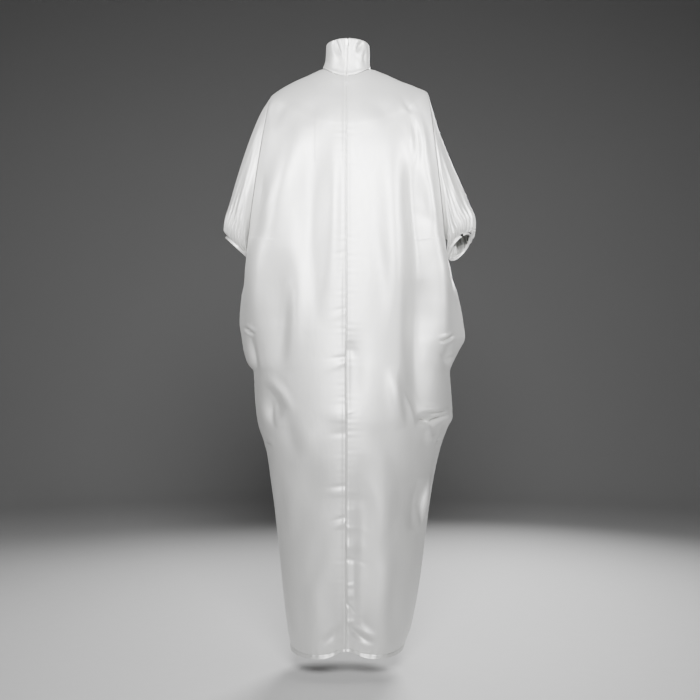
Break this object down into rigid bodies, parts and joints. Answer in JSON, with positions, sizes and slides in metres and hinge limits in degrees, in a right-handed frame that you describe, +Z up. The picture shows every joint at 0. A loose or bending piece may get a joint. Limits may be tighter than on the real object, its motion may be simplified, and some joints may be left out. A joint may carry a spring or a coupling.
{
  "type": "batwing abaya",
  "caption": "Long loose robe in white satin with a funnel collar, short gathered batwing sleeves and a tapering hem, in its worn shape without a wearer.",
  "frame": {"origin": "middle of the neck at the height of the shoulder seams, where a wearer's shoulders carry the garment", "axes": "+Z up, +Y the wearer's front, +X the wearer's right"},
  "size_m": [0.6331, 0.2809, 1.505],
  "materials": {
    "satin": "soft satin sheen",
    "zip_tape": "matt woven tape",
    "enamel": "white enamel",
    "button": "polished black"
  },
  "bodies": {
    "garment": {"back_left": "satin", "back_right": "satin", "front": "satin", "sleeve_left_back": "satin", "sleeve_left_front": "satin", "cuff_left": "satin", "button_left_1": "button", "button_left_2": "button", "sleeve_right_back": "satin", "sleeve_right_front": "satin", "cuff_right": "satin", "button_right_1": "button", "button_right_2": "button", "collar": "satin", "zip": "zip_tape", "zip_slider": "enamel"},
    "pull": {"zip_pull": "enamel"}
  },
  "joints": [
    {"name": "zip_pull_hinge", "type": "hinge", "parent": "garment", "child": "pull", "pos_m": [0.0007, -0.05724, 0.073], "axis": [-1, 0, 0], "range_deg": [0, 160]}
  ]
}
